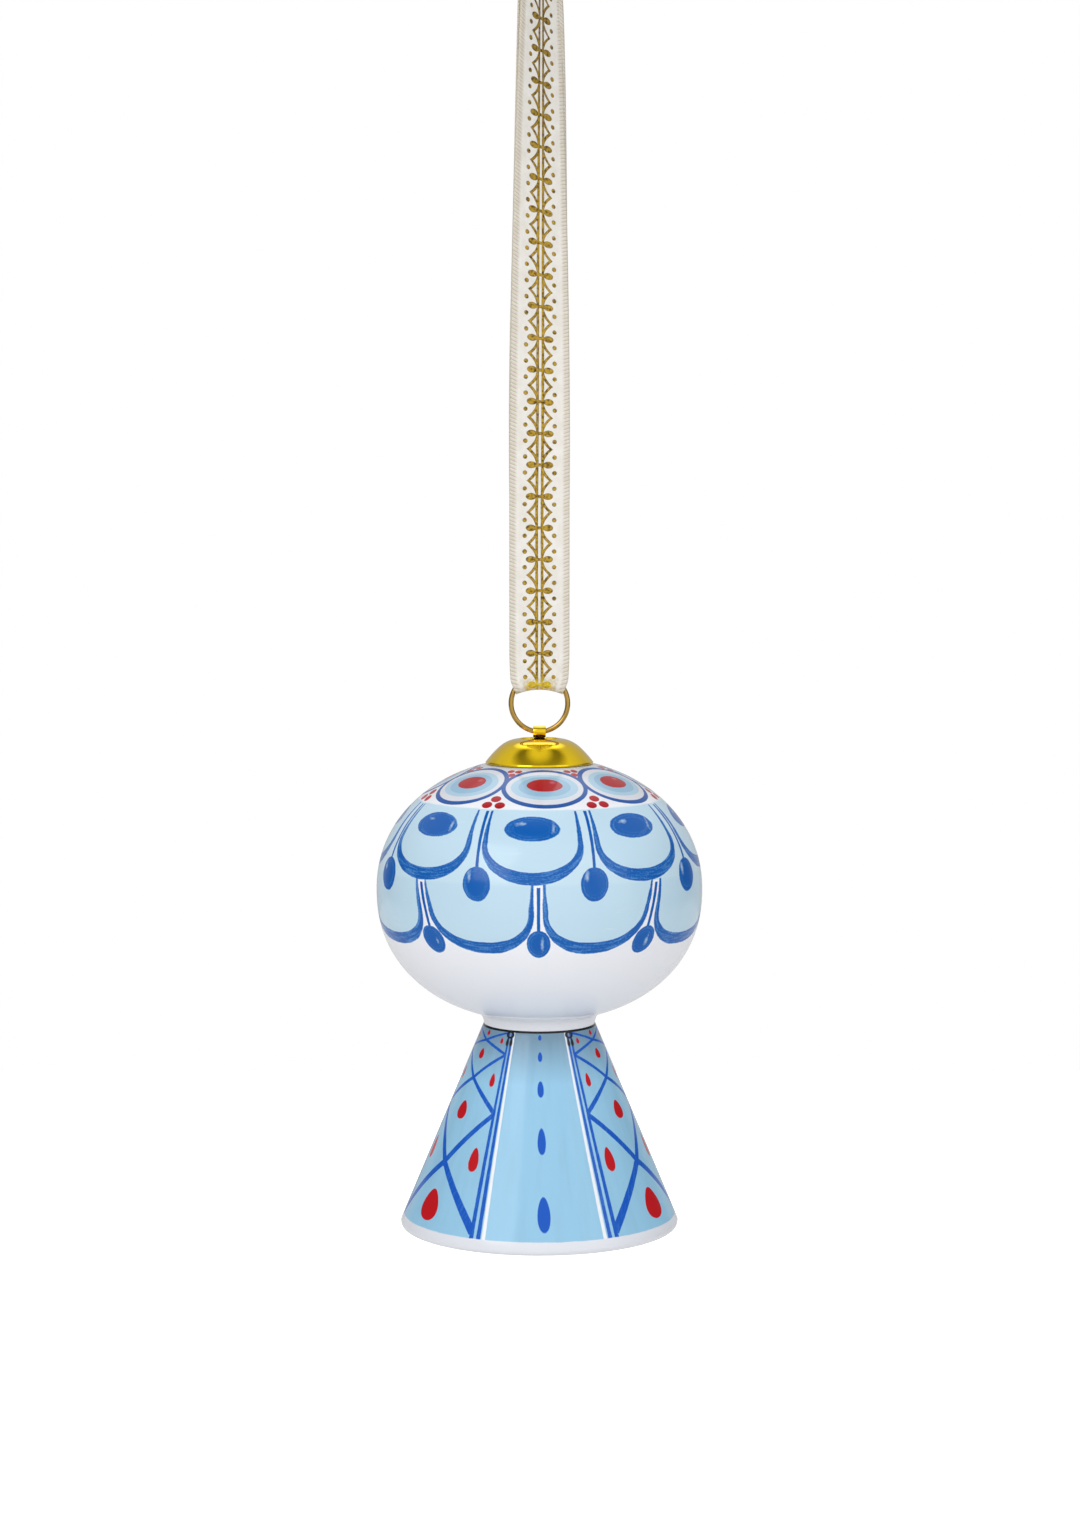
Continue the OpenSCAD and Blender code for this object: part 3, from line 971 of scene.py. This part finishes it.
def fold_ribbon(across, run, side):
    """Round the ring's wire and up: the fold is pinched narrower and cups over the wire."""
    if run < HALF_FOLD:
        y = side * FOLD_R * math.sin(run / FOLD_R)
        z = FOLD_Z + FOLD_R * (1 - math.cos(run / FOLD_R))
    else:
        y = side * FOLD_R
        z = FOLD_Z + FOLD_R + run - HALF_FOLD
    near_fold = 1 - ease(run, 0.4, 6.5)
    pinch = 1 - ease(run, 0.0, 2.6)
    x = across * (RIBBON_HALF - 0.25 * near_fold - 0.85 * pinch)
    z -= across * across * (0.35 * near_fold + 0.4 * pinch)
    y += side * across * across * 0.5 * near_fold
    # The legs close on each other as they rise, and the weft tilts as the loop turns
    y *= 1 - 0.68 * ease(z, -112, -50)
    z -= 1.2 * across * ease(z, BEND_Z - 10, -30) * (1 - ease(z, -12, -2))
    return x, y, z


def gather_ribbon(across, side, x, y, z):
    """Up through the knot: the cloth gathers into pleats, then spreads again in its tail."""
    gather = ease(z, KNOT_LOW - 7, KNOT_LOW + 2.5) - 0.85 * ease(z, KNOT_HIGH - 1.5, KNOT_HIGH + 7)
    x *= 1 - 0.5 * gather
    y += gather * 0.75 * math.sin(across * 7.5 + side)
    y -= side * 0.25 * gather
    tail = max(0.0, z - KNOT_HIGH)
    spread = ease(z, KNOT_HIGH - 2, KNOT_HIGH + 4)
    lean = math.radians(TAIL_SPLAY * side) * spread
    if tail:
        z = KNOT_HIGH + tail * math.cos(lean) - x * math.sin(lean)
        x = x * math.cos(lean) + tail * math.sin(lean)
    y += side * (0.035 * tail * tail - 0.02 * tail) + spread * 0.5 * math.sin(across * 1.6 + 0.5 * side)
    return x, y, z


def lay_ribbon(across, along):
    """Where a point of the flat ribbon lies. across runs from -1 to 1, along is mm from the fold."""
    side = 1 if along > 0 else -1
    x, y, z = gather_ribbon(across, side, *fold_ribbon(across, abs(along), side))
    # The loop's turn about the vertical, and the back leg's slip to one side near the top
    turn = math.radians(TOP_TURN * max(0.0, min(1.0, (z - BEND_Z) / (3.6 - BEND_Z))))
    if side > 0:
        below_knot = 1 - ease(z, -12, -3)
        turn -= math.radians(7) * ease(z, -60, -12) * below_knot
        x += 0.55 * ease(z, -80, -12) * below_knot
    return Vector((x * math.cos(turn) - y * math.sin(turn), x * math.sin(turn) + y * math.cos(turn), z))


def strip_rows():
    """Distances from the fold at which the ribbon has a row of points: close together where it bends."""
    rows = [HALF_FOLD * i / 8 for i in range(9)]
    while rows[-1] < STRIP:
        tight = rows[-1] < 8 or FOLD_Z + rows[-1] > KNOT_LOW - 9
        rows.append(rows[-1] + (0.5 if tight else 1.6))
    rows[-1] = STRIP
    return [-r for r in reversed(rows[1:])] + rows


def map_ribbon(uv, marks):
    """Gives each corner of the marked cloth its place on the flat ribbon, in mm across and along."""
    for face in {face for vert in marks for face in vert.link_faces}:
        for loop in face.loops:
            across, along = marks[loop.vert]
            loop[uv].uv = (across / MAP_UNIT, along / MAP_UNIT)


def add_strip(bm, uv):
    """A flat grid: each point gets its place on the ribbon, with slanted ends, and is laid in space."""
    rows = strip_rows()
    last = len(rows) - 1
    grid = bmesh.ops.create_grid(bm, x_segments=28, y_segments=last, size=1.0)["verts"]
    place = {}
    for vert in grid:
        row = rows[round((vert.co.y + 1) / 2 * last)]
        if abs(row) == STRIP:
            row -= math.copysign(2.2 * (0.5 + 0.5 * vert.co.x), row)
        place[vert] = (vert.co.x, row)
    map_ribbon(uv, {vert: (across * RIBBON_HALF, along) for vert, (across, along) in place.items()})
    for vert, (across, along) in place.items():
        vert.co = lay_ribbon(across, along)


def add_knot(bm, uv):
    """The turn of ribbon that makes the knot, creased and swollen in its middle."""
    band = bmesh.ops.create_grid(bm, x_segments=72, y_segments=16, size=1.0)["verts"]
    marks = {vert: (vert.co.x * math.pi, vert.co.y) for vert in band}
    map_ribbon(uv, {vert: (height * 4.4, angle * 4.2 + STRIP) for vert, (angle, height) in marks.items()})
    turn = Matrix.Rotation(math.radians(TOP_TURN), 3, "Z")
    for vert, (angle, height) in marks.items():
        crease = 0.16 * math.cos(6 * height + 2 * angle) + 0.1 * math.cos(11 * height - angle)
        swell = math.cos(height * math.pi / 2) ** 0.6 if abs(height) < 1 else 0.0
        x = (2.7 + 1.3 * swell + crease) * math.cos(angle)
        y = (1.7 + 1.35 * swell + crease) * math.sin(angle)
        z = 3.3 + 3.1 * height * (1 + 0.14 * math.cos(angle * 2)) + 0.75 * math.cos(angle)
        vert.co = turn @ Vector((x, y, z))
    bmesh.ops.remove_doubles(bm, verts=band, dist=1e-3)


def make_ribbon():
    bm = bmesh.new()
    uv = bm.loops.layers.uv.new(RIBBON_MAP)
    add_strip(bm, uv)
    add_knot(bm, uv)
    piece = finish_mesh(bm, "ribbon_loop", "ribbon", [ribbon_cloth()], smooth=180)
    solid = piece.modifiers.new("cloth", "SOLIDIFY")
    solid.thickness = RIBBON_T * MM
    solid.offset = 0.0
    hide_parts("ribbon")
    CUT_LENGTH * MM
    return piece


# ---------------------------------------------------------------- clapper


def make_bead(wood):
    """A turned bead, with a small flat round each end of its bore and two scored lines."""
    centre = (BEAD_LOW.z + BEAD_HIGH.z) / 2
    radius = max(BEAD_HIGH.z - centre, BEAD_HIGH.x)
    bore = 0.46
    flat = 1.1
    steps = 64
    tip = math.acos(flat / radius)
    points = []
    for i in range(steps + 1):
        t = tip - 2 * tip * i / steps
        z = radius * math.sin(t)
        scores = sum(math.exp(-(((z - at) / 0.16) ** 2)) for at in (-1.3, 1.3))
        points.append((radius * math.cos(t) - 0.14 * scores, centre + z))
    end = radius * math.sin(tip)
    points += [(bore, centre - end), (bore, centre + end)]
    piece = finish_mesh(turn_profile(points, 96), "turned_bead", "bead", [wood])
    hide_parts("clapper_bead")
    return piece


def finish_node(name, material):
    """Gives a CAD node that keeps its shape a better material."""
    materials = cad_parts[name].data.materials
    materials.clear()
    materials.append(material)


# ---------------------------------------------------------------- studio


FLOOR_DROP = 1100  # mm below the rim


def is_seen(tree):
    """1 for what the camera sees directly, 0 for what is reflected or lights the object."""
    return Field(tree, tree.nodes.new("ShaderNodeLightPath").outputs["Is Camera Ray"])


def make_floor():
    """A pale floor, far enough down for a look from below to clear it."""
    bm = bmesh.new()
    bmesh.ops.create_grid(bm, x_segments=2, y_segments=2, size=6.0)
    bmesh.ops.translate(bm, vec=(0, 0, (RIM_Z - FLOOR_DROP) * MM), verts=bm.verts)
    mesh = bpy.data.meshes.new("floor")
    bm.to_mesh(mesh)
    bm.free()
    material, tree, shader = new_material("pale floor", rough=0.9)
    shader.inputs["Emission Color"].default_value = (1, 1, 1, 1)
    shader.inputs["Base Color"].default_value = (0.8, 0.8, 0.8, 1)
    plug(tree, is_seen(tree) * 0.6 + 0.05, shader.inputs["Emission Strength"])
    mesh.materials.append(material)
    add_object("floor", mesh)


def make_world():
    """A white studio: bright above, softer below, with a few darker screens for the metal to reflect."""
    world = bpy.data.worlds.new("studio")
    bpy.context.scene.world = world
    world.use_nodes = True
    tree = world.node_tree
    x, y, z = split(tree, tree.nodes.new("ShaderNodeTexCoord").outputs["Generated"])
    rise = (z * 0.5 + 0.5).clip()
    front = (y * -0.5 + 0.5).clip()
    level = rise * 0.16 + front * 0.58 + 0.4
    screens = ((abs(x) - 0.55) * 5.0).clip() * (1.0 - ((abs(z) - 0.3) * 4.0).clip())
    # A dark flag high in front, and a bright strip overhead, for the gilt to reflect
    flag = ((z - 0.78) * 9.0).clip() * ((0.99 - z) * 20.0).clip() * ((0.35 - y) * 5.0).clip()
    strip = ((y * 0.5 + z * 0.866 - 0.9) * 12.0).clip()
    level = level - screens * 0.45 - flag * 0.6 + strip * 1.6
    background = tree.nodes["Background"]
    background.inputs["Color"].default_value = (1, 1, 1, 1)
    plug(tree, either(level, is_seen(tree)), background.inputs["Strength"])


def soft_light(name, place, size, power):
    """A soft panel of light that faces the globe."""
    data = bpy.data.lights.new(name, "AREA")
    data.shape = "RECTANGLE"
    data.size, data.size_y = size
    data.energy = power
    lamp = add_object(name, data)
    lamp.location = place
    towards = Vector((0, 0, GLOBE_Z * MM)) - Vector(place)
    lamp.rotation_euler = towards.to_track_quat("-Z", "Y").to_euler()


EYE = Vector((0.1, -544.0, -87.6)) * MM
TILT = math.radians(5.24)
TALL_VIEW = math.radians(26.3)


def make_camera():
    data = bpy.data.cameras.new("camera")
    data.sensor_fit = "VERTICAL"
    data.angle = TALL_VIEW
    data.clip_start = 0.01
    camera = add_object("camera", data)
    camera.location = EYE
    camera.rotation_euler = (math.pi / 2 - TILT, 0, 0)
    bpy.context.scene.camera = camera


make_camera()
make_world()
make_floor()
soft_light("key", (-0.55, -0.75, 0.45), (0.5, 0.7), 2.6)
soft_light("fill", (0.7, -0.5, 0.1), (0.4, 0.8), 0.7)
bpy.context.scene.view_settings.view_transform = "Standard"

cap_gilt = metal("bright gilt cap", "#F2CE22", "#E0B41C", rough=0.1, mark=0.1)
wire_gilt = metal("gilt wire", "#B8964E", "#6A4612", rough=0.07, mark=0.1)
strip_gilt = metal("gilt strip", "#EBC528", "#CFA320", rough=0.16, mark=0.2)
brass = metal("stamped brass", "#C9A25A", "#9A7636", rough=0.3, mark=0.4, coarse=1.4)
steel = metal("drawn steel wire", "#C9CBCF", "#8E9196", rough=0.24, mark=0.3)
wood = turned_wood()

make_bell_body()
make_cap(cap_gilt)
make_ring(wire_gilt)
make_pin(strip_gilt)
make_ribbon()
make_bead(wood)
finish_node("crown_gasket", pressed_fibre())
for name in ("inner_washer", "clapper_staple"):
    finish_node(name, brass)
for name in ("clapper_link", "clapper_wire", "clapper_crimp"):
    finish_node(name, steel)

bpy.context.view_layer.update()
